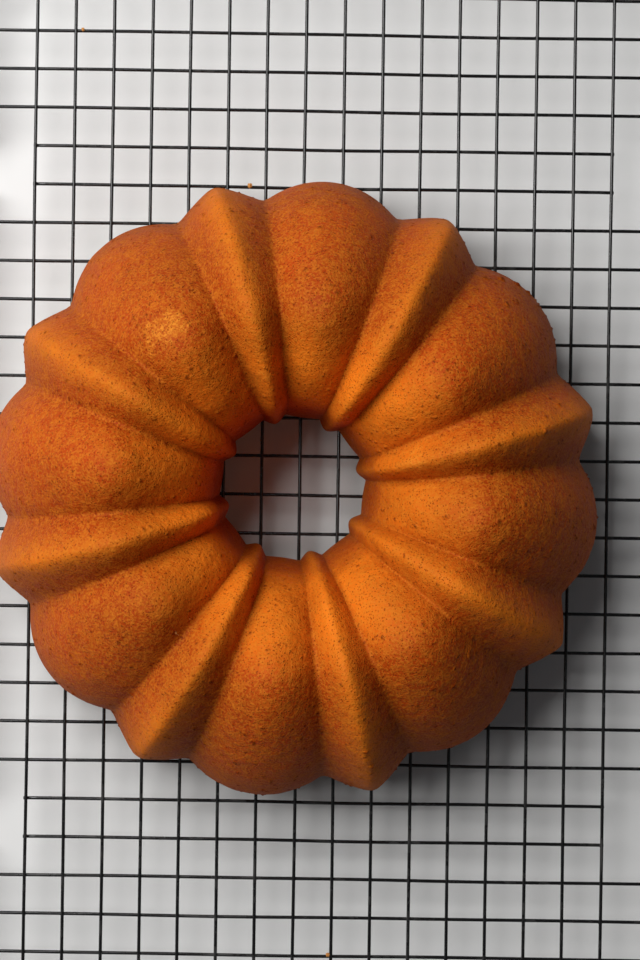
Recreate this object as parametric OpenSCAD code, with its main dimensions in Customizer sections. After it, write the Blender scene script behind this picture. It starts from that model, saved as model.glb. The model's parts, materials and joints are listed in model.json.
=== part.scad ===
// Fluted ring cake standing loose on a low wire cooling rack.
// +Z is up, +Y runs along the rack, and the origin is on the table under the middle of the rack.
// The rack is one bent frame wire with a grid of thin wires welded inside it. The frame dips down
// at four places to make the feet, and the cross wires that would meet a dip stop short of it.
// The cake is a browned crust and a flat base crust round a pale crumb.

/* [Rack] */
// Outer width of the rack
rack_w = 264; // [256:1:270]
// Outer length of the rack
rack_l = 406; // [404:1:420]
// Height of the frame wire's centre above the table
frame_z = 14.5; // [13:0.5:18]
// Radius of the frame's corners, at the wire's centre
corner_r = 18; // [14:1:22]
// Diameter of the frame wire
frame_d = 3.5; // [3:0.1:4]
// Diameter of the grid wires
grid_d = 1.2; // [1:0.1:1.4]
// Distance between neighbouring grid wires
pitch = 14.4; // [14:0.1:14.4]
// How far crossing wires are sunk into each other by their weld
weld_sink = 0.2; // [0.1:0.05:0.25]
// How far a wire's end is sunk into the frame by its weld
end_sink = 0.15; // [0.1:0.05:0.2]

/* [Feet] */
// Length of the straight stretch that each foot stands on
foot_flat = 14; // [8:1:18]
// Bend radius at the knees of a foot, at the wire's centre
foot_bend_r = 4.5; // [4:0.5:5]
// How much of the wire is worn flat under each foot
foot_wear = 0.15; // [0.1:0.05:0.3]

/* [Cake] */
// Place of the cake's middle, to the side of the rack's middle
cake_x = -9.9; // [-12:0.1:12]
// Place of the cake's middle, along the rack
cake_y = 2.9; // [-60:0.1:60]
// Direction of one ridge round the cake, from the side of the rack
ridge_direction = 15.6; // [0:0.1:44.9]
// Gap between the cake's base and the grid, where crumbs and dimples keep it off the wires
rest_gap = 0.3; // [0.3:0.1:0.6]
// Thickness of the browned crust
crust_t = 1.5; // [1:0.1:3]
// Thickness of the flat crust under the cake
base_t = 1.5; // [1:0.1:3]
// Radius of the ring along the top of its arch
arch_r = 63; // [60:0.5:66]

/* [Lobes] */
// Radius of the cake's foot at the middle of a lobe
lobe_r = 114.1; // [110:0.1:114.4]
// Radius of the round outline of one lobe
lobe_round_r = 36; // [36:0.5:39]
// Radius of the middle hole at a lobe
lobe_hole_r = 26.4; // [25:0.1:28]
// Height of the lobes above the base crust
lobe_h = 82; // [76:0.5:86]

/* [Ridges] */
// Radius of the cake's foot at the tip of a ridge
ridge_r = 114.8; // [114.4:0.1:116]
// Radius of the middle hole at a ridge
ridge_hole_r = 24.6; // [23:0.1:25]
// Height of the ridges' crests above the base crust
ridge_h = 82; // [76:0.5:86]

/* [Valleys] */
// Radius of the middle hole in the valleys between lobes and ridges
valley_hole_r = 27.4; // [27:0.1:29]
// Height of the valleys above the base crust
valley_h = 73; // [68:0.5:76]

/* [Hidden] */
$fn = 48;
long_count = 16;
cross_count = 27;
short_cross = [5, 6]; // counted from either end of the rack
overhang = 0.9; // how far a short wire runs past the middle of the last long wire

half_w = (rack_w - frame_d) / 2; // to the frame wire's centre
half_l = (rack_l - frame_d) / 2;
long_z = frame_z + (grid_d - weld_sink) / 2;
cross_z = frame_z - (grid_d - weld_sink) / 2;
cross_middle = (cross_count + 1) / 2;
foot_y = (cross_middle - (short_cross[0] + short_cross[1]) / 2) * pitch;
foot_drop = frame_z - (frame_d / 2 - foot_wear);
foot_leg = foot_drop - 2 * foot_bend_r;
foot_half = foot_flat / 2 + 2 * foot_bend_r;

cake_z = long_z + grid_d / 2 + rest_gap;
flutes = 8; // ridges, with as many round lobes between them
ridge_half = 9; // half the angle that a ridge takes up
lobe_middle = 180 / flutes; // angle from a ridge's crest to the middle of a lobe
valley_r = lobe_edge(lobe_middle - ridge_half);
// Each arch is [foot radius, hole radius, height, outer fullness, inner fullness, draft, outer fall,
// inner fall], and a fall says how far it drops from its top towards that side.
lobe_arch = [lobe_r, lobe_hole_r, lobe_h, 5, 7, 0.13, 0.69, 0.50];
ridge_arch = [ridge_r, ridge_hole_r, ridge_h, 4.4, 9, 0.13, 0.48, 0.42];
valley_arch = [valley_r, valley_hole_r, valley_h, 4.6, 7, 0.11, 0.62, 0.46];
fall_round = 0.3; // how softly a fall starts at the top
arch_steps = 14;
around_steps = 15 * flutes;

function numbered(name, i) = str(name, i < 10 ? "0" : "", i);

// ---- Rack ----

// How far from the rack's middle the frame's inner side is, for a wire `off` to one side of it.
function inner_reach(off, half_across, half_along) =
    let (into_corner = max(0, abs(off) - half_across + corner_r))
    half_along - corner_r + sqrt(pow(corner_r - frame_d / 2, 2) - pow(into_corner, 2));

// A straight length of frame wire along +X.
module straight(length) {
    rotate([0, 90, 0]) cylinder(d = frame_d, h = length);
}

// A quarter bend that leaves the origin along +X and turns to +Y.
module bend(radius) {
    translate([0, radius, 0]) rotate([0, 0, -90])
        rotate_extrude(angle = 90) translate([radius, 0]) circle(d = frame_d);
}

// One half of a foot, from the middle of its flat along +X, with its height along +Y.
module half_foot() {
    straight(foot_flat / 2);
    translate([foot_flat / 2, 0, 0]) bend(foot_bend_r);
    translate([foot_flat / 2 + foot_bend_r, foot_bend_r, 0]) rotate(90) {
        straight(foot_leg);
        translate([foot_leg, 0, 0]) mirror([0, 1, 0]) bend(foot_bend_r);
    }
}

// A quarter of the frame: half an end, a corner, and half a side with its foot.
module frame_quarter() {
    translate([0, half_l, 0]) straight(half_w - corner_r);
    translate([half_w - corner_r, half_l, 0]) mirror([0, 1, 0]) bend(corner_r);
    translate([half_w, 0, 0]) rotate(90) {
        straight(foot_y - foot_half);
        translate([foot_y + foot_half, 0, 0]) straight(half_l - corner_r - foot_y - foot_half);
        for (end = [0, 1])
            translate([foot_y, 0, -foot_drop]) mirror([end, 0, 0]) rotate([90, 0, 0]) half_foot();
    }
}

module outer_frame() {
    color("#17171a") difference() {
        translate([0, 0, frame_z])
            for (x = [0, 1], y = [0, 1]) mirror([x, 0, 0]) mirror([0, y, 0]) frame_quarter();
        translate([0, 0, -frame_d / 2]) cube([2 * rack_w, 2 * rack_l, frame_d], center = true);
    }
}

module long_wire(i) {
    x = (i - (long_count + 1) / 2) * pitch;
    reach = inner_reach(x, half_w, half_l) + end_sink;
    color("#222225") translate([x, 0, long_z])
        rotate([90, 0, 0]) cylinder(d = grid_d, h = 2 * reach, center = true);
}

module cross_wire(i) {
    y = (cross_middle - i) * pitch;
    from_end = min(i, cross_count + 1 - i);
    is_short = from_end == short_cross[0] || from_end == short_cross[1];
    reach = is_short
        ? (long_count - 1) / 2 * pitch + overhang
        : inner_reach(y, half_l, half_w) + end_sink;
    color("#1a1a1c") translate([0, y, cross_z])
        rotate([0, 90, 0]) cylinder(d = grid_d, h = 2 * reach, center = true);
}

// ---- Cake ----

// Radius of a lobe's round outline, `a` degrees from the lobe's middle.
function lobe_edge(a) =
    let (c = lobe_r - lobe_round_r)
    c * cos(a) + sqrt(pow(lobe_round_r, 2) - pow(c * sin(a), 2));

// Radius and height on an arch: `a` runs from 0 at the foot, over the top at 90, to 180 in the hole.
function arch_point(arch, a, inset) =
    let (
        side = a < 90 ? 1 : -1,
        power = 2 / (a < 90 ? arch[3] : arch[4]),
        span = a < 90 ? arch[0] - arch_r : arch_r - arch[1],
        up = pow(sin(a), power),
        across = pow(abs(cos(a)), power) * (1 - arch[5] * up),
        fall = a < 90 ? arch[6] : arch[7],
        fallen = fall * (norm([across, fall_round]) - fall_round)
    )
    [arch_r + side * (span - inset) * across, (arch[2] - inset) * up * (1 - fallen)];

// Angle of a step over the arch. Steps lie closer together near the top, where angles reach far.
function arch_angle(i) =
    let (s = 2 * i / arch_steps - 1)
    s < 0 ? 90 - 90 * pow(-s, 2.5) : 90 + 90 * pow(s, 3);

// How much of the way from valley to crest the surface stands, `u` degrees from the nearest crest.
function lobe_rise(u) =
    (lobe_edge(lobe_middle - u) - valley_r) / (lobe_r - valley_r);
function ridge_rise(u) = 1 - u / ridge_half;

// A point of the cake, `around` degrees from a ridge's crest and `a` degrees over the arch.
function cake_point(around, a, inset) =
    let (
        period = 360 / flutes,
        turn = around % period,
        u = min(turn, period - turn),
        valley = arch_point(valley_arch, a, inset),
        crest = arch_point(u < ridge_half ? ridge_arch : lobe_arch, a, inset),
        rise = u < ridge_half ? ridge_rise(u) : lobe_rise(u),
        p = valley + rise * (crest - valley)
    )
    [p[0] * cos(around), p[0] * sin(around), p[1]];

// One closed loop of points round the cake.
function cake_loop(a, inset) =
    [for (j = [0:around_steps - 1]) cake_point(j * 360 / around_steps, a, inset)];

// The loops over the arch, from foot to hole or back.
function cake_loops(inset, backwards = false) =
    [for (i = [0:arch_steps]) cake_loop(arch_angle(backwards ? arch_steps - i : i), inset)];

// A closed solid through loops that also follow each other in a ring. Each patch between two loops
// is split along one diagonal, or along the other one if it is crossed, so that the crumb's faces
// fit those of the crust's inner side.
module ring_solid(loops, crossed = false) {
    rows = len(loops);
    columns = len(loops[0]);
    lean = crossed ? 1 : 0;
    function at(i, j) = (i % rows) * columns + j % columns;
    polyhedron(
        points = [for (loop = loops) each loop],
        faces = [
            for (i = [0:rows - 1], j = [0:columns - 1])
                each [
                    [at(i, j), at(i + 1, j), at(i + 1 - lean, j + 1)],
                    [at(i + lean, j), at(i + 1, j + 1), at(i, j + 1)]
                ]
        ]
    );
}

module on_rack(height) {
    translate([cake_x, cake_y, cake_z + height]) rotate(ridge_direction) children();
}

module cake_crust() {
    color("#b8651b") on_rack(base_t)
        ring_solid(concat(cake_loops(0), cake_loops(crust_t, backwards = true)));
}

module cake_crumb() {
    color("#efcf7c") on_rack(base_t) ring_solid(cake_loops(crust_t), crossed = true);
}

module base_crust() {
    color("#c98a3e") on_rack(0) linear_extrude(base_t) difference() {
        polygon([for (p = cake_loop(0, 0)) [p[0], p[1]]]);
        polygon([for (p = cake_loop(180, 0)) [p[0], p[1]]]);
    }
}

outer_frame();
for (i = [1:long_count])
    long_wire(i);
for (i = [1:cross_count])
    cross_wire(i);
cake_crumb();
cake_crust();
base_crust();
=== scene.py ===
"""Looks of a fluted ring cake on a wire cooling rack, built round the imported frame.

Everything is in metres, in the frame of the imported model: +Z up, +Y along the rack, origin on the
table. The rack is its frame wire, its grid of thin wires and their welds. The cake is a porous
browned crust and a flat base crust round the crumb. A few loose crumbs lie on the wires.
"""

from __future__ import annotations

import bisect
import json
import logging
import math
import random
from dataclasses import dataclass, field
from enum import Enum
from typing import Iterable, Sequence

import bmesh
import bpy
from mathutils import Matrix, Vector, noise

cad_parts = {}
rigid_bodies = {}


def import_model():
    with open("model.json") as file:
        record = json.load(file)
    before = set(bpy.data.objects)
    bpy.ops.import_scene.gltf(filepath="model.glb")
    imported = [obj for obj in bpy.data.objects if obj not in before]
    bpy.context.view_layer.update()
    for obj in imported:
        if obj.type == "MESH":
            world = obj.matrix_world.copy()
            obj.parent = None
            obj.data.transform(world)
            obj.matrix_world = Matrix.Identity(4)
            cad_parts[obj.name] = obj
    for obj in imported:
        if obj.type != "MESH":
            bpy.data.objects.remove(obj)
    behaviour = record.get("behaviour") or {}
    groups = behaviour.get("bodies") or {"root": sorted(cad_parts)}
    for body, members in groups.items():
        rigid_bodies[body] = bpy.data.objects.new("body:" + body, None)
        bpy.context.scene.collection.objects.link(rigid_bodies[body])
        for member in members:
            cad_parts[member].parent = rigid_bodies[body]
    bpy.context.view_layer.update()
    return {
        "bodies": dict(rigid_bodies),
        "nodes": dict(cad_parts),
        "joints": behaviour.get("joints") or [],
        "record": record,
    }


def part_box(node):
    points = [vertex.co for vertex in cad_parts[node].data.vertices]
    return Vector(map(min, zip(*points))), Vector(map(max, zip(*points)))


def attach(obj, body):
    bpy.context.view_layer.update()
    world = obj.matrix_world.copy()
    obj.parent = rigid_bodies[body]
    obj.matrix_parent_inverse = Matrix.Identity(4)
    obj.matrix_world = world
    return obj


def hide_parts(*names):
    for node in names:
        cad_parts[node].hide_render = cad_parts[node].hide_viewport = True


LOG = logging.getLogger("ring_cake")
MM = 0.001
FULL_TURN = 360.0
# A Mix node has one pair of sockets for each kind of data. These are the colours' sockets.
MIX_LOW = 6
MIX_HIGH = 7
MIX_RESULT = 2

Colour = tuple[float, float, float, float]


class Body(Enum):
    """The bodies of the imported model."""

    RACK = "rack"
    CAKE = "cake"


class Slot(Enum):
    """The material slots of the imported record."""

    COATING = "rack_coating"
    CRUST = "cake_crust"
    CRUMB = "cake_crumb"
    BASE = "base_crust"


class Flute(Enum):
    """The two kinds of bulge that run over the cake by turns."""

    LOBE = "lobe"
    RIDGE = "ridge"


# ---------------------------------------------------------------- node trees


class NodeBoard:
    """Adds nodes to one tree and wires them up."""

    def __init__(self, tree: bpy.types.NodeTree) -> None:
        """Starts on a tree.

        Args:
            tree: The node tree of a material or of a group.
        """
        self.tree = tree

    def add(self, kind: str, **settings: object) -> bpy.types.Node:
        """Adds a node and sets its properties.

        Args:
            kind: The node's type name.
            **settings: Values for the node's own properties.

        Returns:
            The new node.
        """
        node = self.tree.nodes.new(kind)
        for name, value in settings.items():
            setattr(node, name, value)
        return node

    def put(self, socket: bpy.types.NodeSocket, value: object) -> None:
        """Links a socket to an input, or sets the input to a plain value.

        Args:
            socket: The input to feed.
            value: An output socket, a number, a vector or a colour.
        """
        if isinstance(value, bpy.types.NodeSocket):
            self.tree.links.new(value, socket)
        else:
            socket.default_value = value

    def math(self, operation: str, *values: object, clamp: bool = False) -> bpy.types.NodeSocket:
        """Adds a Math node.

        Args:
            operation: The node's operation.
            *values: One to three inputs, sockets or numbers.
            clamp: Whether the result is kept within 0 and 1.

        Returns:
            The node's output.
        """
        node = self.add("ShaderNodeMath", operation=operation, use_clamp=clamp)
        for socket, value in zip(node.inputs, values):
            self.put(socket, value)
        return node.outputs[0]

    def blend(self, factor: object, low: object, high: object) -> bpy.types.NodeSocket:
        """Mixes two colours.

        Args:
            factor: How much of the second colour shows.
            low: The first colour.
            high: The second colour.

        Returns:
            The mixed colour.
        """
        node = self.add("ShaderNodeMix", data_type="RGBA")
        self.put(node.inputs["Factor"], factor)
        self.put(node.inputs[MIX_LOW], low)
        self.put(node.inputs[MIX_HIGH], high)
        return node.outputs[MIX_RESULT]

    def between(self, value: object, low: float, high: float) -> bpy.types.NodeSocket:
        """Turns a value into a smooth mask that rises from 0 at low to 1 at high.

        Args:
            value: The value to read.
            low: Where the mask starts to rise. It may be above high for a falling mask.
            high: Where the mask reaches 1.

        Returns:
            The mask.
        """
        node = self.add("ShaderNodeMapRange", interpolation_type="SMOOTHSTEP")
        self.put(node.inputs["Value"], value)
        flipped = low > high
        node.inputs["From Min"].default_value = min(low, high)
        node.inputs["From Max"].default_value = max(low, high)
        node.inputs["To Min"].default_value = 1.0 if flipped else 0.0
        node.inputs["To Max"].default_value = 0.0 if flipped else 1.0
        return node.outputs["Result"]

    def noise(
        self, where: object, scale: object, detail: float = 2.0, rough: float = 0.5
    ) -> bpy.types.NodeSocket:
        """Adds a noise texture.

        Args:
            where: The coordinates that it reads.
            scale: Features per metre.
            detail: How many finer layers it has.
            rough: How strong the finer layers are.

        Returns:
            The noise value, about 0.5 on average.
        """
        node = self.add("ShaderNodeTexNoise")
        self.put(node.inputs["Vector"], where)
        self.put(node.inputs["Scale"], scale)
        node.inputs["Detail"].default_value = detail
        node.inputs["Roughness"].default_value = rough
        return node.outputs["Fac"]

    def attribute(self, name: str) -> bpy.types.NodeSocket:
        """Reads a value stored on the mesh.

        Args:
            name: The attribute's name.

        Returns:
            The value at each point.
        """
        return self.add("ShaderNodeAttribute", attribute_name=name).outputs["Fac"]

    def place(self) -> bpy.types.NodeSocket:
        """Returns the piece's own coordinates, in metres."""
        return self.add("ShaderNodeTexCoord").outputs["Object"]

    def group(self, tree: bpy.types.NodeTree, **inputs: object) -> bpy.types.Node:
        """Places a shared group and feeds its inputs.

        Args:
            tree: The group's tree.
            **inputs: Values by input name, with _ for a space.

        Returns:
            The group node.
        """
        node = self.add("ShaderNodeGroup", node_tree=tree)
        for name, value in inputs.items():
            self.put(node.inputs[name.replace("_", " ")], value)
        return node


class EffectGroup:
    """A shader node group that several materials share."""

    def __init__(self, name: str, inputs: dict[str, str], outputs: Sequence[str]) -> None:
        """Makes the empty group with its sockets.

        Args:
            name: The group's name.
            inputs: Socket kind by input name, either Vector or Float.
            outputs: Names of the Float outputs.
        """
        self.tree = bpy.data.node_groups.new(name, "ShaderNodeTree")
        for label, kind in inputs.items():
            self.tree.interface.new_socket(label, in_out="INPUT", socket_type="NodeSocket" + kind)
        for label in outputs:
            self.tree.interface.new_socket(label, in_out="OUTPUT", socket_type="NodeSocketFloat")
        self.board = NodeBoard(self.tree)
        self.source = self.board.add("NodeGroupInput")
        self.result = self.board.add("NodeGroupOutput")

    def read(self, name: str) -> bpy.types.NodeSocket:
        """Returns the group's own input of that name."""
        return self.source.outputs[name]

    def give(self, name: str, value: bpy.types.NodeSocket) -> None:
        """Feeds the group's output of that name."""
        self.board.put(self.result.inputs[name], value)


def make_pore_group() -> bpy.types.NodeTree:
    """Builds the open grain of baked batter: small round pores between fine crumb walls.

    Returns:
        A group with Pores and Walls masks and a Height, all 0 to 1.
    """
    effect = EffectGroup(
        "baked_pores",
        {"Place": "Vector", "Pores per Metre": "Float", "Pore Share": "Float"},
        ("Pores", "Walls", "Height"),
    )
    board = effect.board
    bends_per_metre = 700.0
    bend_reach = 0.6 * MM
    bend = board.add("ShaderNodeTexNoise")
    board.put(bend.inputs["Vector"], effect.read("Place"))
    board.put(bend.inputs["Scale"], bends_per_metre)
    shift = board.add("ShaderNodeVectorMath", operation="MULTIPLY_ADD")
    board.put(shift.inputs[0], bend.outputs["Color"])
    board.put(shift.inputs[1], (bend_reach, bend_reach, bend_reach))
    board.put(shift.inputs[2], effect.read("Place"))
    cells = board.add("ShaderNodeTexVoronoi", feature="F1")
    board.put(cells.inputs["Vector"], shift.outputs[0])
    board.put(cells.inputs["Scale"], effect.read("Pores per Metre"))
    chance = board.add("ShaderNodeSeparateColor")
    board.put(chance.inputs[0], cells.outputs["Color"])
    is_open = board.math("LESS_THAN", chance.outputs["Red"], effect.read("Pore Share"))
    smallest = 0.22
    spread = 0.22
    size = board.math("MULTIPLY_ADD", chance.outputs["Green"], spread, smallest)
    depth = board.math("SUBTRACT", 1.0, board.math("DIVIDE", cells.outputs["Distance"], size), clamp=True)
    pores = board.math("MULTIPLY", is_open, board.math("POWER", depth, 0.7))
    fine = board.noise(effect.read("Place"), effect.read("Pores per Metre"), 2.0, 0.6)
    walls = board.between(fine, 0.38, 0.66)
    effect.give("Pores", pores)
    effect.give("Walls", walls)
    wall_height = 0.55
    effect.give("Height", board.math("SUBTRACT", board.math("MULTIPLY", walls, wall_height), pores))
    return effect.tree


def make_mottle_group() -> bpy.types.NodeTree:
    """Builds the uneven browning of an oven: broad patches and finer flecks.

    Returns:
        A group with Patches and Flecks masks, 0 to 1.
    """
    effect = EffectGroup(
        "oven_mottle", {"Place": "Vector", "Patches per Metre": "Float"}, ("Patches", "Flecks")
    )
    board = effect.board
    flecks_per_patch = 9.0
    broad = board.noise(effect.read("Place"), effect.read("Patches per Metre"), 3.0, 0.55)
    fleck_scale = board.math("MULTIPLY", effect.read("Patches per Metre"), flecks_per_patch)
    flecks = board.noise(effect.read("Place"), fleck_scale, 3.0, 0.6)
    effect.give("Patches", board.between(broad, 0.34, 0.66))
    effect.give("Flecks", board.between(flecks, 0.4, 0.68))
    return effect.tree


def make_coating_group() -> bpy.types.NodeTree:
    """Builds the skin of a baked-on black coating: an orange-peel surface with dull, worn spots.

    Returns:
        A group with a Wear mask and a Height, 0 to 1.
    """
    effect = EffectGroup("coating_skin", {"Place": "Vector", "Wear": "Float"}, ("Wear", "Height"))
    board = effect.board
    peel_per_metre = 1500.0
    spots_per_metre = 90.0
    peel = board.noise(effect.read("Place"), peel_per_metre, 2.0, 0.5)
    spots = board.noise(effect.read("Place"), spots_per_metre, 4.0, 0.65)
    worn = board.math("MULTIPLY", board.between(spots, 0.5, 0.72), effect.read("Wear"))
    effect.give("Wear", worn)
    effect.give("Height", peel)
    return effect.tree


# ---------------------------------------------------------------- finishes


@dataclass
class SharedEffects:
    """The node groups that the finishes place in their materials."""

    pores: bpy.types.NodeTree = field(default_factory=make_pore_group)
    mottle: bpy.types.NodeTree = field(default_factory=make_mottle_group)
    coating: bpy.types.NodeTree = field(default_factory=make_coating_group)


def start_material(name: str) -> tuple[bpy.types.Material, NodeBoard, bpy.types.Node]:
    """Makes a material with only its Principled shader.

    Args:
        name: The material's name.

    Returns:
        The material, its node board and the shader.
    """
    material = bpy.data.materials.new(name)
    material.use_nodes = True
    shader = next(n for n in material.node_tree.nodes if n.type == "BSDF_PRINCIPLED")
    return material, NodeBoard(material.node_tree), shader


@dataclass(frozen=True)
class CrustFinish:
    """Browned crust that baked against the pan: reddish lobes, golden ridges, fine dark pores. Painted
    shade darkens the valleys, a painted highlight runs along the crests, and painted light brightens the
    upper slopes towards the hole.
    """

    lobe: Colour = (0.37, 0.042, 0.0020, 1.0)
    # Partly the crest's paler, less browned crust, partly a painted highlight along the crests.
    gold_crest_and_highlight: Colour = (0.58, 0.125, 0.0060, 1.0)
    # Partly the paler crust towards the hole, partly painted light on the upper inner slopes.
    inner: Colour = (0.80, 0.180, 0.0090, 1.0)
    # Both the oven's darker browning patches and the painted shade in the valleys.
    brown_and_crease_shade: Colour = (0.22, 0.028, 0.0015, 1.0)
    pale: Colour = (0.56, 0.175, 0.0120, 1.0)
    worn: Colour = (0.70, 0.24, 0.022, 1.0)
    pore: Colour = (0.095, 0.0085, 0.0005, 1.0)
    patch_shade: float = 0.45
    # Strength of the painted shade in the valleys.
    crease_shade_strength: float = 0.5
    fleck_shade: float = 0.28
    wall_shade: float = 0.45
    pore_shade: float = 0.85
    pit_shade: float = 0.9
    worn_shade: float = 0.8
    worn_floor: float = 0.35
    roughness: float = 0.60
    specular: float = 0.07
    patches_per_metre: float = 28.0
    pores_per_metre: float = 1150.0
    pore_share: float = 0.85
    bump: float = 0.5
    bump_depth: float = 0.40 * MM

    def colour(
        self, board: NodeBoard, grain: bpy.types.Node, mottle: bpy.types.Node
    ) -> bpy.types.NodeSocket:
        """Lays the crust's colours over each other, with the painted shade in the valleys and the painted
        light on the crests and inner slopes.

        Args:
            board: The material's node board.
            grain: The placed pore group.
            mottle: The placed mottle group.

        Returns:
            The crust's colour.
        """
        walls = grain.outputs["Walls"]
        pores = grain.outputs["Pores"]
        worn_share = board.attribute("worn_share")
        # Painted highlight along each ridge's crest, mixed with the crest's paler crust.
        colour = board.blend(board.attribute("crest_pale_and_highlight_share"), self.lobe, self.gold_crest_and_highlight)
        # Painted light on the upper slopes towards the hole, mixed with the paler inner crust.
        colour = board.blend(board.attribute("inner_pale_and_lit_share"), colour, self.inner)
        patches = board.math("MULTIPLY", mottle.outputs["Patches"], self.patch_shade)
        colour = board.blend(patches, colour, self.brown_and_crease_shade)
        # Painted shade in the valleys.
        painted_crease_shade = board.math("MULTIPLY", board.attribute("crease_shade_share"), self.crease_shade_strength)
        colour = board.blend(painted_crease_shade, colour, self.brown_and_crease_shade)
        flecks = board.math("MULTIPLY", mottle.outputs["Flecks"], self.fleck_shade)
        colour = board.blend(flecks, colour, self.pale)
        colour = board.blend(board.math("MULTIPLY", walls, self.wall_shade), colour, self.pale)
        rubbed = board.math("MULTIPLY", worn_share, walls)
        rubbed = board.math("MULTIPLY_ADD", worn_share, self.worn_floor, rubbed)
        rubbed = board.math("MULTIPLY", rubbed, self.worn_shade, clamp=True)
        colour = board.blend(rubbed, colour, self.worn)
        colour = board.blend(board.math("MULTIPLY", pores, self.pore_shade), colour, self.pore)
        pits = board.math("MULTIPLY", board.attribute("pit_share"), self.pit_shade)
        return board.blend(pits, colour, self.pore)

    def material(self, effects: SharedEffects) -> bpy.types.Material:
        """Builds the crust's material.

        Args:
            effects: The shared node groups.

        Returns:
            The material.
        """
        material, board, shader = start_material("browned_crust")
        place = board.place()
        grain = board.group(
            effects.pores, Place=place, Pores_per_Metre=self.pores_per_metre, Pore_Share=self.pore_share
        )
        mottle = board.group(effects.mottle, Place=place, Patches_per_Metre=self.patches_per_metre)
        board.put(shader.inputs["Base Color"], self.colour(board, grain, mottle))
        roughness = board.math("MULTIPLY_ADD", mottle.outputs["Flecks"], 0.12, self.roughness)
        board.put(shader.inputs["Roughness"], roughness)
        shader.inputs["Specular IOR Level"].default_value = self.specular
        bump = board.add("ShaderNodeBump")
        bump.inputs["Strength"].default_value = self.bump
        bump.inputs["Distance"].default_value = self.bump_depth
        board.put(bump.inputs["Height"], grain.outputs["Height"])
        board.put(shader.inputs["Normal"], bump.outputs["Normal"])
        return material


@dataclass(frozen=True)
class BakedFinish:
    """A plainer baked surface: the base crust, the crumb, or a loose crumb."""

    name: str
    colour: Colour
    browned: Colour
    pore: Colour
    pores_per_metre: float
    pore_share: float
    browning: float
    patches_per_metre: float = 40.0
    roughness: float = 0.65
    bump: float = 0.6
    bump_depth: float = 0.4 * MM

    def material(self, effects: SharedEffects) -> bpy.types.Material:
        """Builds the baked material.

        Args:
            effects: The shared node groups.

        Returns:
            The material.
        """
        material, board, shader = start_material(self.name)
        place = board.place()
        grain = board.group(
            effects.pores, Place=place, Pores_per_Metre=self.pores_per_metre, Pore_Share=self.pore_share
        )
        mottle = board.group(effects.mottle, Place=place, Patches_per_Metre=self.patches_per_metre)
        colour = board.blend(
            board.math("MULTIPLY", mottle.outputs["Patches"], self.browning), self.colour, self.browned
        )
        colour = board.blend(board.math("MULTIPLY", grain.outputs["Pores"], 0.7), colour, self.pore)
        board.put(shader.inputs["Base Color"], colour)
        roughness = board.math("MULTIPLY_ADD", mottle.outputs["Flecks"], 0.1, self.roughness)
        board.put(shader.inputs["Roughness"], roughness)
        bump = board.add("ShaderNodeBump")
        bump.inputs["Strength"].default_value = self.bump
        bump.inputs["Distance"].default_value = self.bump_depth
        board.put(bump.inputs["Height"], grain.outputs["Height"])
        board.put(shader.inputs["Normal"], bump.outputs["Normal"])
        return material


@dataclass(frozen=True)
class CoatingFinish:
    """Black non-stick coating on steel wire."""

    name: str
    wear: float
    roughness: float
    black: Colour = (0.005, 0.005, 0.0052, 1.0)
    worn: Colour = (0.06, 0.058, 0.055, 1.0)
    specular: float = 0.5
    bump: float = 0.12
    bump_depth: float = 0.1 * MM

    def material(self, effects: SharedEffects) -> bpy.types.Material:
        """Builds the coating's material.

        Args:
            effects: The shared node groups.

        Returns:
            The material.
        """
        material, board, shader = start_material(self.name)
        skin = board.group(effects.coating, Place=board.place(), Wear=self.wear)
        board.put(shader.inputs["Base Color"], board.blend(skin.outputs["Wear"], self.black, self.worn))
        roughness = board.math("MULTIPLY_ADD", skin.outputs["Wear"], 0.3, self.roughness)
        board.put(shader.inputs["Roughness"], roughness)
        shader.inputs["Specular IOR Level"].default_value = self.specular
        bump = board.add("ShaderNodeBump")
        bump.inputs["Strength"].default_value = self.bump
        bump.inputs["Distance"].default_value = self.bump_depth
        board.put(bump.inputs["Height"], skin.outputs["Height"])
        board.put(shader.inputs["Normal"], bump.outputs["Normal"])
        return material


# ---------------------------------------------------------------- mesh helpers


def finish_mesh(
    name: str, shape: bmesh.types.BMesh, material: bpy.types.Material, smooth: bool = True
) -> bpy.types.Object:
    """Turns a finished bmesh into an object of the scene.

    Args:
        name: The piece's name.
        shape: The shape, freed here.
        material: What it is made of.
        smooth: Whether its faces are shaded smooth.

    Returns:
        The new object.
    """
    bmesh.ops.recalc_face_normals(shape, faces=shape.faces)
    mesh = bpy.data.meshes.new(name)
    shape.to_mesh(mesh)
    shape.free()
    for polygon in mesh.polygons:
        polygon.use_smooth = smooth
    mesh.materials.append(material)
    piece = bpy.data.objects.new(name, mesh)
    bpy.context.scene.collection.objects.link(piece)
    return piece


def loft_closed(shape: bmesh.types.BMesh, loops: Sequence[Sequence[bmesh.types.BMVert]]) -> None:
    """Joins closed loops by quads, and the last loop to the first.

    Args:
        shape: The shape that holds the vertices.
        loops: Loops with the same number of vertices.
    """
    for loop, following in zip(loops, (*loops[1:], loops[0])):
        count = len(loop)
        for j in range(count):
            k = (j + 1) % count
            shape.faces.new((loop[j], following[j], following[k], loop[k]))


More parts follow.
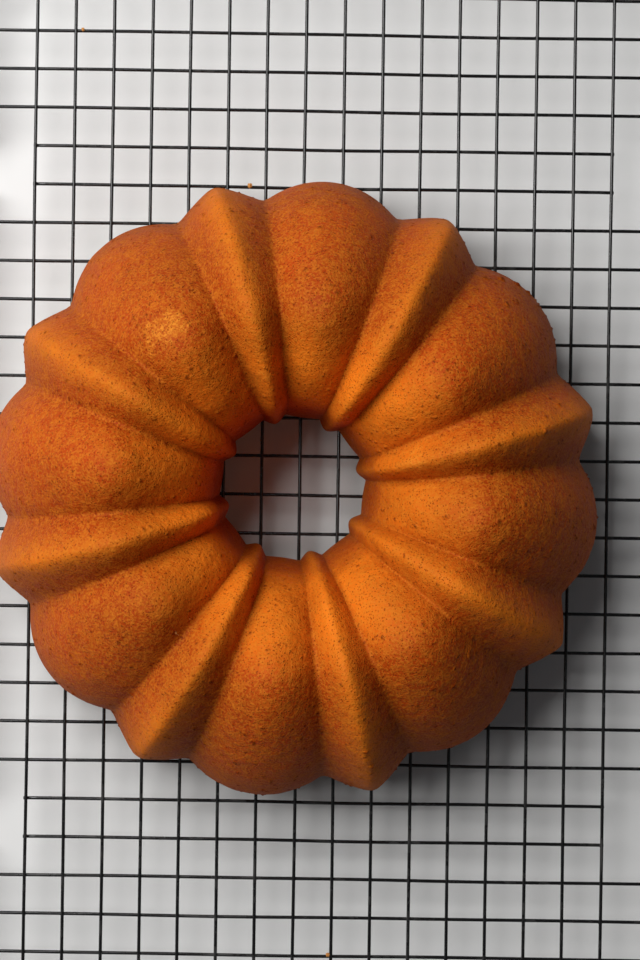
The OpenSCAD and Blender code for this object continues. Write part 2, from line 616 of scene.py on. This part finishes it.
def add_tube(
    shape: bmesh.types.BMesh, path: Sequence[Vector], radii: Sequence[float], side: Vector, sides: int
) -> None:
    """Adds a closed round tube along a path that hardly turns.

    Args:
        shape: The shape to add to.
        path: The middle of each ring.
        radii: The radius of each ring.
        side: A direction square to the path.
        sides: How many vertices a ring has.
    """
    along = (path[-1] - path[0]).normalized()
    other = along.cross(side)
    rings = []
    for middle, radius in zip(path, radii):
        turn = [math.tau * k / sides for k in range(sides)]
        rings.append(
            [shape.verts.new(middle + radius * (math.cos(t) * side + math.sin(t) * other)) for t in turn]
        )
    for ring, following in zip(rings, rings[1:]):
        for j in range(sides):
            k = (j + 1) % sides
            shape.faces.new((ring[j], ring[k], following[k], following[j]))
    shape.faces.new(rings[0][::-1])
    shape.faces.new(rings[-1])


def store(piece: bpy.types.Object, body: Body, slot: Slot, *nodes: str) -> bpy.types.Object:
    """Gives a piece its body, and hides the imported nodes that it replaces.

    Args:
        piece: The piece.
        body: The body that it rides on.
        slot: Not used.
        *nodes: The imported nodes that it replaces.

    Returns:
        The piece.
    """
    if nodes:
        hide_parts(*nodes)
    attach(piece, body.value)
    LOG.info("%s: %d faces, on %s", piece.name, len(piece.data.polygons), body.value)
    return piece


# ---------------------------------------------------------------- cake


@dataclass(frozen=True)
class Arch:
    """A section of the cake from its foot, over the top, into the middle hole."""

    foot: float
    hole: float
    height: float
    outer_fullness: float
    inner_fullness: float
    draft: float
    outer_fall: float
    inner_fall: float
    fall_round: float = 0.3

    def shares(self, over: float) -> tuple[float, float]:
        """Finds how far out and how far up a point of the section is, each from 0 to 1.

        Args:
            over: Degrees over the arch: 0 at the foot, 90 on top, 180 in the hole.

        Returns:
            The share across from the crown and the share up before the fall.
        """
        power = 2.0 / (self.outer_fullness if over < 90.0 else self.inner_fullness)
        up = max(math.sin(math.radians(over)), 0.0) ** power
        return abs(math.cos(math.radians(over))) ** power * (1.0 - self.draft * up), up

    def at(self, over: float, crown: float, inset: float) -> Vector:
        """Finds a point of the section.

        Args:
            over: Degrees over the arch: 0 at the foot, 90 on top, 180 in the hole.
            crown: Radius of the ring along the top.
            inset: How far inside the surface the point lies.

        Returns:
            Its radius and height, as a 2-D vector.
        """
        outside = over < 90.0
        across, up = self.shares(over)
        fall = self.outer_fall if outside else self.inner_fall
        fallen = fall * (math.hypot(across, self.fall_round) - self.fall_round)
        span = (self.foot - crown if outside else crown - self.hole) - inset
        reach = span * across if outside else -span * across
        return Vector((crown + reach, (self.height - inset) * up * (1.0 - fallen)))


@dataclass(frozen=True)
class FlutedRing:
    """The cake's form: eight sharp ridges and eight round lobes by turns over one arch."""

    crown: float = 63.0 * MM
    lobe: Arch = Arch(
        foot=114.1 * MM,
        hole=26.4 * MM,
        height=82.0 * MM,
        outer_fullness=5.0,
        inner_fullness=7.0,
        draft=0.13,
        outer_fall=0.69,
        inner_fall=0.50,
    )
    ridge: Arch = Arch(
        foot=114.8 * MM,
        hole=24.6 * MM,
        height=82.0 * MM,
        outer_fullness=4.4,
        inner_fullness=9.0,
        draft=0.13,
        outer_fall=0.48,
        inner_fall=0.42,
    )
    valley_hole: float = 27.4 * MM
    valley_height: float = 73.0 * MM
    lobe_round: float = 36.0 * MM
    flutes: int = 8
    ridge_half: float = 9.0
    ridge_direction: float = 15.6
    outer_edge: float = 0.13
    inner_edge: float = 1.10
    edge_start: float = 0.9
    edge_span: float = 1.5
    inner_reach: float = 0.55
    valley_softness: float = 0.10
    oval: float = 0.9 * MM

    @property
    def period(self) -> float:
        """Degrees from one ridge to the next."""
        return FULL_TURN / self.flutes

    def lobe_outline(self, away: float) -> float:
        """Returns the foot's radius, away degrees from the middle of a lobe."""
        centre = self.lobe.foot - self.lobe_round
        turn = math.radians(away)
        return centre * math.cos(turn) + math.sqrt(self.lobe_round**2 - (centre * math.sin(turn)) ** 2)

    @property
    def valley(self) -> Arch:
        """The section along a valley."""
        foot = self.lobe_outline(self.period / 2.0 - self.ridge_half)
        return Arch(
            foot=foot,
            hole=self.valley_hole,
            height=self.valley_height,
            outer_fullness=4.6,
            inner_fullness=7.0,
            draft=0.11,
            outer_fall=0.62,
            inner_fall=0.46,
        )

    def even_overs(self, count: int) -> list[float]:
        """Spreads points evenly along a lobe's section.

        Near the foot, the top and the hole a degree covers a long way, so the samples lie closer there.

        Args:
            count: How many steps the section is cut into.

        Returns:
            Degrees over the arch, from 0 to 180.
        """
        samples = 3000
        ease = 4
        overs = []
        for start in (0.0, 90.0):
            for i in range(samples + 1):
                t = i / samples
                overs.append(start + 90.0 * t**ease / (t**ease + (1.0 - t) ** ease))
        spots = [self.lobe.at(over, self.crown, 0.0) for over in overs]
        lengths = [0.0]
        for spot, following in zip(spots, spots[1:]):
            lengths.append(lengths[-1] + (following - spot).length)
        found = [overs[bisect.bisect_left(lengths, lengths[-1] * i / count)] for i in range(count)]
        return [*found, 180.0]

    def flute_at(self, around: float) -> tuple[Flute, float]:
        """Finds which bulge a direction crosses.

        Args:
            around: Degrees round the cake from a ridge's crest.

        Returns:
            The kind of bulge and the degrees from the nearest crest.
        """
        turn = around % self.period
        away = min(turn, self.period - turn)
        return (Flute.RIDGE if away < self.ridge_half else Flute.LOBE), away

    def inward(self, over: float) -> float:
        """Returns how far a point has come from the crown, 0, towards the hole, 1."""
        if over < 90.0:
            return 0.0
        return min(self.ridge.shares(over)[0] / self.inner_reach, 1.0)

    def crest_edge(self, over: float) -> float:
        """Returns how round a ridge's crest is: nearly sharp outside, blunt at the inner end."""
        across, _ = self.ridge.shares(over)
        reach = across if over < 90.0 else -across
        way_in = min(max((self.edge_start - reach) / self.edge_span, 0.0), 1.0)
        return self.outer_edge + (self.inner_edge - self.outer_edge) * way_in**2

    def rise(self, around: float, over: float) -> float:
        """How far a point stands between valley, 0, and crest, 1.

        Args:
            around: Degrees round the cake from a ridge's crest.
            over: Degrees over the arch.

        Returns:
            The share.
        """
        flute, away = self.flute_at(around)
        if flute is Flute.RIDGE:
            edge = self.crest_edge(over)
            x = away / self.ridge_half
            top = math.hypot(1.0, edge)
            rise = (top - math.hypot(x, edge)) / (top - edge)
        else:
            low = self.valley.foot
            rise = (self.lobe_outline(self.period / 2.0 - away) - low) / (self.lobe.foot - low)
        soft = self.valley_softness
        return (math.hypot(rise, soft) - soft) / (math.hypot(1.0, soft) - soft)

    def point(self, around: float, over: float, inset: float = 0.0) -> Vector:
        """Finds a point of the surface, about the cake's own axis and foot.

        Args:
            around: Degrees round the cake from a ridge's crest.
            over: Degrees over the arch.
            inset: How far inside the surface the point lies.

        Returns:
            The point.
        """
        flute, _ = self.flute_at(around)
        crest = self.ridge if flute is Flute.RIDGE else self.lobe
        valley_point = self.valley.at(over, self.crown, inset)
        spot = valley_point.lerp(crest.at(over, self.crown, inset), self.rise(around, over))
        turn = math.radians(around + self.ridge_direction)
        out = min(max((spot.x - self.crown) / (self.lobe.foot - self.crown), 0.0), 1.0)
        reach = spot.x + self.oval * out * math.sin(turn) ** 2
        return Vector((reach * math.cos(turn), reach * math.sin(turn), spot.y))


@dataclass(frozen=True)
class Pit:
    """A large open pore in the crust. Its place along the section is 0 at the foot, 1 in the hole."""

    around: float
    along: float
    radius: float
    depth: float
    stretch: float = 1.0


@dataclass(frozen=True)
class WornSpot:
    """A place where the crust stuck to the pan and paler cake shows."""

    around: float
    along: float
    radius: float
    stretch: float
    strength: float


@dataclass
class CakeCrust:
    """The browned crust: a thin closed shell over the whole form, with pits and worn spots, and the masks
    of its painted shade and painted light.
    """

    form: FlutedRing
    seat: Vector
    thickness: float = 1.15 * MM
    columns: int = 840
    rows: int = 330
    lining_rows: int = 24
    row_step: float = 0.5 * MM
    swell: float = 0.75 * MM
    swells_per_metre: float = 32.0
    ripple: float = 0.22 * MM
    ripples_per_metre: float = 150.0
    grain: float = 0.16 * MM
    grains_per_metre: float = 560.0
    foot_fade: float = 6.0 * MM
    pit_count: int = 1200
    pit_zone: tuple[float, float] = (0.03, 0.80)
    pit_radius: float = 0.42 * MM
    pit_growth: float = 0.55 * MM
    pit_depth: float = 0.75
    # Width and fade of the crest band: the paler crest and its painted highlight.
    crest_band: float = 0.62
    crest_fade: float = 0.5
    # Strength of the paler inner colour and its painted light.
    inner_pale_and_lit_strength: float = 0.9
    # How narrow the painted shade in the valleys is.
    crease_shade_narrowing: float = 2.6
    # Below this height the inner colour fades out, so the painted light stays on the upper slopes.
    wall_top: float = 30.0 * MM
    wall_fade: float = 22.0 * MM
    worn_flatness: float = 1.3
    worn_coarse_per_metre: float = 170.0
    worn_fine_per_metre: float = 520.0
    seed: int = 11
    chosen_pits: tuple[Pit, ...] = (
        Pit(3.9, 0.280, 1.00 * MM, 1.0 * MM),
        Pit(-0.6, 0.360, 1.05 * MM, 1.0 * MM),
        Pit(-90.1, 0.330, 0.90 * MM, 0.9 * MM),
        Pit(-89.6, 0.280, 1.15 * MM, 1.1 * MM),
        Pit(-92.6, 0.500, 0.75 * MM, 0.7 * MM),
        Pit(33.4, 0.220, 0.85 * MM, 0.9 * MM, 1.8),
        Pit(30.9, 0.180, 1.05 * MM, 1.1 * MM, 2.0),
        Pit(27.9, 0.140, 1.20 * MM, 1.2 * MM, 1.8),
        Pit(25.4, 0.105, 1.00 * MM, 1.0 * MM, 1.2),
    )
    worn_spots: tuple[WornSpot, ...] = (
        WornSpot(113.9, 0.460, 8.0 * MM, 1.8, 0.55),
        WornSpot(-0.1, 0.630, 9.0 * MM, 1.3, 0.45),
        WornSpot(88.9, 0.630, 6.0 * MM, 1.2, 0.40),
    )

    def unevenness(self, spot: Vector) -> float:
        """Works out how far the batter's rise moves the surface from the pan's exact form.

        Args:
            spot: The point on the exact form.

        Returns:
            The distance outward.
        """
        fade = min(1.0, spot.z / self.foot_fade)
        broad = noise.noise(spot * self.swells_per_metre)
        fine = noise.noise(spot * self.ripples_per_metre + Vector((3.0, 0.0, 0.0)))
        grain = noise.noise(spot * self.grains_per_metre)
        return fade * (self.swell * broad + self.ripple * fine + self.grain * grain)

    def pits(self) -> list[Pit]:
        """Returns the chosen pits and the scattered ones."""
        dice = random.Random(self.seed)
        scattered = []
        for _ in range(self.pit_count):
            along = dice.uniform(*self.pit_zone)
            big = dice.random() ** 4
            radius = self.pit_radius + self.pit_growth * big
            around = dice.uniform(0.0, FULL_TURN)
            scattered.append(Pit(around, along, radius, self.pit_depth * radius))
        return [*self.chosen_pits, *scattered]

    def build(self, material: bpy.types.Material) -> bpy.types.Object:
        """Builds the crust.

        Args:
            material: The crust's material.

        Returns:
            The piece.
        """
        shape = bmesh.new()
        layers = {
            name: shape.verts.layers.float.new(name)
            for name in ("crest_pale_and_highlight_share", "inner_pale_and_lit_share", "crease_shade_share", "pit_share", "worn_share")
        }
        overs = self.form.even_overs(self.rows)
        arounds = [FULL_TURN * j / self.columns for j in range(self.columns)]
        outer = [[shape.verts.new(self.form.point(a, over)) for a in arounds] for over in overs]
        lining = [
            [shape.verts.new(self.form.point(a, over, self.thickness)) for a in arounds]
            for over in reversed(self.form.even_overs(self.lining_rows))
        ]
        loft_closed(shape, [*outer, *lining])
        shape.normal_update()
        self.roughen(outer)
        self.sink_pits(outer, layers["pit_share"])
        self.mark_flutes(outer, overs, arounds, layers)
        self.mark_worn(outer, layers["worn_share"])
        bmesh.ops.translate(shape, verts=shape.verts, vec=self.seat)
        return finish_mesh("crust", shape, material)

    def roughen(self, outer: list[list[bmesh.types.BMVert]]) -> None:
        """Moves the outer surface by the batter's unevenness.

        Args:
            outer: The outer surface's rows of vertices.
        """
        for loop in outer:
            for vert in loop:
                vert.co = vert.co + vert.normal * self.unevenness(vert.co)

    def near(
        self, outer: list[list[bmesh.types.BMVert]], around: float, along: float, radius: float
    ) -> Iterable[tuple[bmesh.types.BMVert, Vector]]:
        """Finds the vertices within a radius of a place on the surface.

        Args:
            outer: The outer surface's rows of vertices.
            around: The place's degrees round the cake.
            along: The place's share of the way along the section.
            radius: How far to look.

        Yields:
            Each vertex and its offset from the place.
        """
        row = round(along * self.rows)
        column = round((around % FULL_TURN) / FULL_TURN * self.columns) % self.columns
        middle = outer[row][column].co.copy()
        ring = math.hypot(middle.x, middle.y)
        wide = math.ceil(radius / (math.tau * ring / self.columns)) + 1
        tall = math.ceil(radius / self.row_step) + 1
        for i in range(max(0, row - tall), min(len(outer), row + tall + 1)):
            for j in range(column - wide, column + wide + 1):
                vert = outer[i][j % self.columns]
                yield vert, vert.co - middle

    def sink_pits(self, outer: list[list[bmesh.types.BMVert]], layer: bmesh.types.BMLayerItem) -> None:
        """Sinks the large pores into the surface.

        Args:
            outer: The outer surface's rows of vertices.
            layer: Where the pits' darkness is stored.
        """
        for pit in self.pits():
            for vert, offset in self.near(outer, pit.around, pit.along, pit.radius * pit.stretch):
                distance = math.hypot(offset.x, offset.y) / pit.stretch + abs(offset.z) * 0.8
                share = max(0.0, 1.0 - (distance / pit.radius) ** 2)
                if share > vert[layer]:
                    vert.co -= vert.normal * pit.depth * (share - vert[layer])
                    vert[layer] = share

    def mark_flutes(
        self,
        outer: list[list[bmesh.types.BMVert]],
        overs: list[float],
        arounds: list[float],
        layers: dict[str, bmesh.types.BMLayerItem],
    ) -> None:
        """Stores each point's masks: the paler colour and painted highlight along a ridge's crest, the
        paler colour and painted light on the upper slopes towards the hole, and the painted shade in a
        valley.

        Args:
            outer: The outer surface's rows of vertices.
            overs: Each row's degrees over the arch.
            arounds: Each column's degrees round the cake.
            layers: The layers by name.
        """
        for loop, over in zip(outer, overs):
            inward = self.form.inward(over)
            height = self.form.lobe.at(over, self.form.crown, 0.0)[1]
            # Painted light: the paler inner colour fades out down the hole's lower wall.
            lit = min(max((height - self.wall_top) / self.wall_fade, 0.0), 1.0)
            for vert, around in zip(loop, arounds):
                flute, away = self.form.flute_at(around)
                rise = self.form.rise(around, over)
                band = (self.crest_band - away / self.form.ridge_half) / self.crest_fade
                is_ridge = flute is Flute.RIDGE
                # Paler crest with a painted highlight along it.
                vert[layers["crest_pale_and_highlight_share"]] = min(max(band, 0.0), 1.0) if is_ridge else 0.0
                # Paler inner crust with painted light on the upper slopes.
                vert[layers["inner_pale_and_lit_share"]] = self.inner_pale_and_lit_strength * inward * lit
                # Painted shade, darkest at the floor of each valley.
                vert[layers["crease_shade_share"]] = max(0.0, 1.0 - rise * self.crease_shade_narrowing)

    def mark_worn(self, outer: list[list[bmesh.types.BMVert]], layer: bmesh.types.BMLayerItem) -> None:
        """Stores the places where paler cake shows.

        Args:
            outer: The outer surface's rows of vertices.
            layer: Where the share of wear is stored.
        """
        for spot in self.worn_spots:
            out = Vector(self.form.point(spot.around, 0.0)).normalized()
            for vert, offset in self.near(outer, spot.around, spot.along, spot.radius * spot.stretch):
                across = offset.dot(out)
                sideways = (offset - across * out).length / spot.stretch
                coarse = noise.noise(vert.co * self.worn_coarse_per_metre)
                fine = noise.noise(vert.co * self.worn_fine_per_metre)
                away = math.hypot(across * self.worn_flatness, sideways) / spot.radius
                share = 0.8 - away + 1.1 * coarse + 0.7 * fine
                vert[layer] = max(vert[layer], spot.strength * min(max(share * 1.4, 0.0), 1.0))


@dataclass
class BaseCrust:
    """The flat crust under the cake: a thin fluted ring with soft edges."""

    form: FlutedRing
    foot: Vector
    thickness: float
    columns: int = 360
    spans: int = 30
    edge_round: float = 0.7 * MM
    lift: float = 0.12 * MM
    bumps_per_metre: float = 260.0

    def edge_profile(self) -> list[tuple[float, float]]:
        """Returns the rounded lower edge as pairs of inset and height."""
        turns = [math.radians(90.0 * k / 4) for k in range(5)]
        return [
            (self.edge_round * (1.0 - math.cos(t)), self.edge_round * (1.0 - math.sin(t))) for t in turns
        ]

    def loop(
        self, shape: bmesh.types.BMesh, share: float, inset: float, height: float
    ) -> list[bmesh.types.BMVert]:
        """Adds one loop of the base.

        Args:
            shape: The shape to add to.
            share: 0 on the outer edge, 1 on the hole's edge.
            inset: How far the loop is moved towards the middle of the base.
            height: Its height over the bottom.

        Returns:
            The loop's vertices.
        """
        loop = []
        for j in range(self.columns):
            around = FULL_TURN * j / self.columns
            outside = self.form.point(around, 0.0)
            inside = self.form.point(around, 180.0)
            spot = outside.lerp(inside, share)
            spot += (inside - outside).normalized() * (inset if share < 0.5 else -inset)
            bump = self.lift * (1.0 + noise.noise(spot * self.bumps_per_metre))
            lift = bump if height == 0.0 else 0.0
            loop.append(shape.verts.new(self.foot + Vector((spot.x, spot.y, height + lift))))
        return loop

    def build(self, material: bpy.types.Material) -> bpy.types.Object:
        """Builds the base crust.

        Args:
            material: The base's material.

        Returns:
            The piece.
        """
        shape = bmesh.new()
        profile = self.edge_profile()
        loops = [self.loop(shape, 0.0, 0.0, self.thickness)]
        loops += [self.loop(shape, 0.0, inset, height) for inset, height in profile[:-1]]
        loops += [self.loop(shape, k / self.spans, 0.0, 0.0) for k in range(1, self.spans)]
        loops += [self.loop(shape, 1.0, inset, height) for inset, height in reversed(profile[:-1])]
        loops += [self.loop(shape, 1.0, 0.0, self.thickness)]
        loft_closed(shape, loops)
        return finish_mesh("base_crust_skin", shape, material)


# ---------------------------------------------------------------- rack


@dataclass
class GridWire:
    """One thin straight wire of the grid, hardly swaying, with its coated ends."""

    node: str
    sides: int = 12
    step: float = 5.0 * MM
    sway: float = 0.16 * MM
    coat: float = 1.06
    waver: float = 0.03
    wavers_per_metre: float = 240.0

    def build(self, material: bpy.types.Material) -> bpy.types.Object:
        """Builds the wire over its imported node.

        Args:
            material: The coating.

        Returns:
            The piece.
        """
        low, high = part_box(self.node)
        middle = (low + high) / 2.0
        size = high - low
        is_long = size.y > size.x
        along = Vector((0.0, 1.0, 0.0)) if is_long else Vector((1.0, 0.0, 0.0))
        side = Vector((1.0, 0.0, 0.0)) if is_long else Vector((0.0, 1.0, 0.0))
        length = max(size.x, size.y)
        radius = size.z / 2.0
        count = round(length / self.step)
        phase = noise.noise(middle * 97.0) * math.tau
        path = []
        for k in range(count + 1):
            t = k / count
            wave = math.sin(phase + 7.0 * t) + 0.5 * math.sin(2.3 * phase + 17.0 * t)
            ease = math.sin(math.pi * t) ** 0.5
            path.append(middle + along * length * (t - 0.5) + side * self.sway * wave * ease)
        wavers = [self.waver * noise.noise(spot * self.wavers_per_metre) for spot in path]
        radii = [radius * (self.coat + waver) for waver in wavers]
        shape = bmesh.new()
        add_tube(shape, path, radii, side, self.sides)
        return finish_mesh(self.node + "_coated", shape, material)


@dataclass
class WeldBeads:
    """The small coated fillets where a long wire is welded to a cross wire."""

    long_nodes: Sequence[str]
    cross_nodes: Sequence[str]
    width: float = 0.84 * MM
    height: float = 0.42 * MM
    rings: int = 5
    sides: int = 10

    def add_bead(self, shape: bmesh.types.BMesh, middle: Vector, twist: float) -> None:
        """Adds one squashed, slightly four-cornered bead.

        Args:
            shape: The shape to add to.
            middle: Where the wires touch.
            twist: How far the bead is turned.
        """
        loops = []
        for i in range(1, self.rings):
            lift = math.pi * i / self.rings
            loop = []
            for j in range(self.sides):
                turn = math.tau * j / self.sides + twist
                corner = 1.0 + 0.12 * math.cos(4.0 * turn + math.pi)
                reach = self.width * corner * math.sin(lift)
                offset = (reach * math.cos(turn), reach * math.sin(turn), self.height * math.cos(lift))
                loop.append(shape.verts.new(middle + Vector(offset)))
            loops.append(loop)
        for loop, following in zip(loops, loops[1:]):
            for j in range(self.sides):
                k = (j + 1) % self.sides
                shape.faces.new((loop[j], following[j], following[k], loop[k]))
        shape.faces.new(loops[0])
        shape.faces.new(loops[-1][::-1])

    def build(self, material: bpy.types.Material) -> bpy.types.Object:
        """Builds a bead at every crossing.

        Args:
            material: The coating.

        Returns:
            The piece.
        """
        shape = bmesh.new()
        for long_node in self.long_nodes:
            long_low, long_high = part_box(long_node)
            for cross_node in self.cross_nodes:
                cross_low, cross_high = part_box(cross_node)
                x = (long_low.x + long_high.x) / 2.0
                y = (cross_low.y + cross_high.y) / 2.0
                z = (long_low.z + cross_high.z) / 2.0
                middle = Vector((x, y, z))
                self.add_bead(shape, middle, noise.noise(middle * 311.0))
        return finish_mesh("weld_beads", shape, material)


@dataclass(frozen=True)
class LooseCrumb:
    """A crumb that lies on a wire."""

    name: str
    x: float
    y: float
    size: float
    seed: float


@dataclass
class CrumbScatter:
    """The loose crumbs on the rack."""

    top: float
    crumbs: tuple[LooseCrumb, ...] = (
        LooseCrumb("loose_crumb_1", -27.6 * MM, 115.6 * MM, 1.7 * MM, 1.0),
        LooseCrumb("loose_crumb_2", 6.2 * MM, -172.0 * MM, 1.5 * MM, 2.0),
        LooseCrumb("loose_crumb_3", -91.0 * MM, 173.2 * MM, 1.3 * MM, 3.0),
    )

    def build_one(self, crumb: LooseCrumb, material: bpy.types.Material) -> bpy.types.Object:
        """Builds one ragged crumb.

        Args:
            crumb: Its place and size.
            material: The crumb's material.

        Returns:
            The piece.
        """
        shape = bmesh.new()
        bmesh.ops.create_icosphere(shape, subdivisions=4, radius=crumb.size / 2.0)
        for vert in shape.verts:
            way = vert.co.normalized()
            lump = noise.noise(way * 1.7 + Vector((crumb.seed, 0.0, 0.0)))
            grain = noise.noise(way * 5.5 + Vector((0.0, crumb.seed, 0.0)))
            vert.co *= 1.0 + 0.42 * lump + 0.16 * grain
            vert.co.z *= 0.75
        lowest = min(vert.co.z for vert in shape.verts)
        bmesh.ops.translate(shape, verts=shape.verts, vec=Vector((crumb.x, crumb.y, self.top - lowest)))
        return finish_mesh(crumb.name, shape, material)


# ---------------------------------------------------------------- studio


@dataclass
class Studio:
    """A pale table, a soft window from the upper left, and a camera that looks straight down."""

    grid_top: float
    camera_rise: float = 0.80
    view_length: float = 0.3595
    view_x: float = 0.4 * MM
    view_y: float = 5.8 * MM
    lens_left: float = 34.5 * MM
    lens_up: float = 21.7 * MM
    camera_roll: float = 0.9
    sensor: float = 36.0
    window_direction: float = 146.0
    window_height: float = 52.0
    window_distance: float = 1.15
    window_width: float = 1.0
    window_rise: float = 0.77
    window_watts: float = 19.0
    ambient: float = 0.07
    window_colour: tuple[float, float, float] = (1.0, 0.995, 0.985)
    ambient_colour: Colour = (0.93, 0.95, 1.0, 1.0)
    table_radius: float = 3.0

    def floor_material(self) -> bpy.types.Material:
        """Builds the table's plain pale finish."""
        material, board, shader = start_material("pale_table")
        cloud = board.noise(board.place(), 3.0, 3.0, 0.5)
        colour = board.blend(cloud, (0.68, 0.68, 0.675, 1.0), (0.74, 0.74, 0.735, 1.0))
        board.put(shader.inputs["Base Color"], colour)
        shader.inputs["Roughness"].default_value = 0.45
        return material

    def add_floor(self) -> None:
        """Adds the table top, a wide disc."""
        shape = bmesh.new()
        bmesh.ops.create_circle(shape, cap_ends=True, segments=96, radius=self.table_radius)
        floor = finish_mesh("table_top", shape, self.floor_material(), smooth=False)

    def add_window(self) -> None:
        """Adds the window as one large soft light."""
        light = bpy.data.lights.new("window", "AREA")
        light.shape = "RECTANGLE"
        light.size = self.window_width
        light.size_y = self.window_rise
        light.energy = self.window_watts
        light.color = self.window_colour
        lamp = bpy.data.objects.new("window", light)
        turn = math.radians(self.window_direction)
        tilt = math.radians(self.window_height)
        way = Vector((math.cos(turn) * math.cos(tilt), math.sin(turn) * math.cos(tilt), math.sin(tilt)))
        lamp.location = way * self.window_distance
        lamp.rotation_euler = way.to_track_quat("Z", "Y").to_euler()
        bpy.context.scene.collection.objects.link(lamp)

    def add_sky(self) -> None:
        """Sets the weak, even light of the room."""
        world = bpy.data.worlds.new("room")
        world.use_nodes = True
        background = world.node_tree.nodes["Background"]
        background.inputs["Color"].default_value = self.ambient_colour
        background.inputs["Strength"].default_value = self.ambient
        bpy.context.scene.world = world

    def add_camera(self) -> None:
        """Adds the camera over the rack, a little to the upper left of the middle of its view."""
        data = bpy.data.cameras.new("overhead")
        data.sensor_width = self.sensor
        data.lens = self.sensor * self.camera_rise / self.view_length
        data.shift_x = self.lens_left / self.view_length
        data.shift_y = -self.lens_up / self.view_length
        camera = bpy.data.objects.new("overhead", data)
        turn = Matrix.Rotation(math.radians(self.camera_roll), 3, "Z")
        aside = turn @ Vector((-self.lens_left, self.lens_up, 0.0))
        camera.location = Vector((self.view_x, self.view_y, self.grid_top + self.camera_rise)) + aside
        camera.rotation_euler = (0.0, 0.0, math.radians(self.camera_roll))
        bpy.context.scene.collection.objects.link(camera)
        bpy.context.scene.camera = camera

    def build(self) -> None:
        """Builds the whole studio."""
        self.add_camera()
        self.add_floor()
        self.add_window()
        self.add_sky()
        bpy.context.scene.view_settings.view_transform = "Standard"


# ---------------------------------------------------------------- assembly


@dataclass
class CakeOnRack:
    """The whole object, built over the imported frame."""

    frame: dict
    effects: SharedEffects = field(default_factory=SharedEffects)

    def node_names(self, prefix: str) -> list[str]:
        """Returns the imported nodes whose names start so, in order."""
        return sorted(name for name in self.frame["nodes"] if name.startswith(prefix))

    def dress(self, node: str, material: bpy.types.Material) -> None:
        """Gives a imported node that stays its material.

        Args:
            node: The node's name.
            material: Its finish.
        """
        mesh = self.frame["nodes"][node].data
        mesh.materials.clear()
        mesh.materials.append(material)
        for polygon in mesh.polygons:
            polygon.material_index = 0
        LOG.info("%s: packed node, finish %s", node, material.name)

    def build_rack(self) -> None:
        """Builds the frame wire's finish, the grid, its welds and the loose crumbs."""
        frame_coat = CoatingFinish("frame_coating", wear=0.6, roughness=0.34).material(self.effects)
        grid_coat = CoatingFinish("grid_coating", wear=0.4, roughness=0.25).material(self.effects)
        self.dress("outer_frame", frame_coat)
        long_nodes = self.node_names("long_wire_")
        cross_nodes = self.node_names("cross_wire_")
        for node in [*long_nodes, *cross_nodes]:
            store(GridWire(node).build(grid_coat), Body.RACK, Slot.COATING, node)
        beads = WeldBeads(long_nodes, cross_nodes).build(grid_coat)
        store(beads, Body.RACK, Slot.COATING)
        crumb_finish = BakedFinish(
            "loose_crumb",
            colour=(0.62, 0.27, 0.06, 1.0),
            browned=(0.40, 0.11, 0.02, 1.0),
            pore=(0.20, 0.06, 0.01, 1.0),
            pores_per_metre=2600.0,
            pore_share=0.5,
            browning=0.6,
        ).material(self.effects)
        scatter = CrumbScatter(top=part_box(cross_nodes[0])[1].z - 0.1 * MM)
        for crumb in scatter.crumbs:
            store(scatter.build_one(crumb, crumb_finish), Body.RACK, Slot.CRUMB)

    def build_cake(self) -> None:
        """Builds the crust and the base, and finishes the crumb inside."""
        low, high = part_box("base_crust")
        centre = (low + high) / 2.0
        form = FlutedRing()
        crust = CakeCrust(form, seat=Vector((centre.x, centre.y, high.z)))
        store(crust.build(CrustFinish().material(self.effects)), Body.CAKE, Slot.CRUST, "cake_crust")
        base_finish = BakedFinish(
            "base_crust_finish",
            colour=(0.58, 0.24, 0.05, 1.0),
            browned=(0.36, 0.10, 0.016, 1.0),
            pore=(0.14, 0.035, 0.005, 1.0),
            pores_per_metre=600.0,
            pore_share=0.55,
            browning=0.7,
        ).material(self.effects)
        base = BaseCrust(form, foot=Vector((centre.x, centre.y, low.z)), thickness=high.z - low.z)
        store(base.build(base_finish), Body.CAKE, Slot.BASE, "base_crust")
        crumb_finish = BakedFinish(
            "pale_crumb",
            colour=(0.86, 0.66, 0.27, 1.0),
            browned=(0.78, 0.52, 0.18, 1.0),
            pore=(0.55, 0.33, 0.10, 1.0),
            pores_per_metre=500.0,
            pore_share=0.6,
            browning=0.3,
        ).material(self.effects)
        self.dress("cake_crumb", crumb_finish)


def main() -> None:
    """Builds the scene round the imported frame."""
    logging.basicConfig(level=logging.INFO, format="%(name)s: %(message)s")
    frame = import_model()
    long_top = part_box("long_wire_01")[1].z
    Studio(grid_top=long_top).build()
    assembly = CakeOnRack(frame)
    assembly.build_rack()
    assembly.build_cake()


if __name__ == "__main__":
    main()
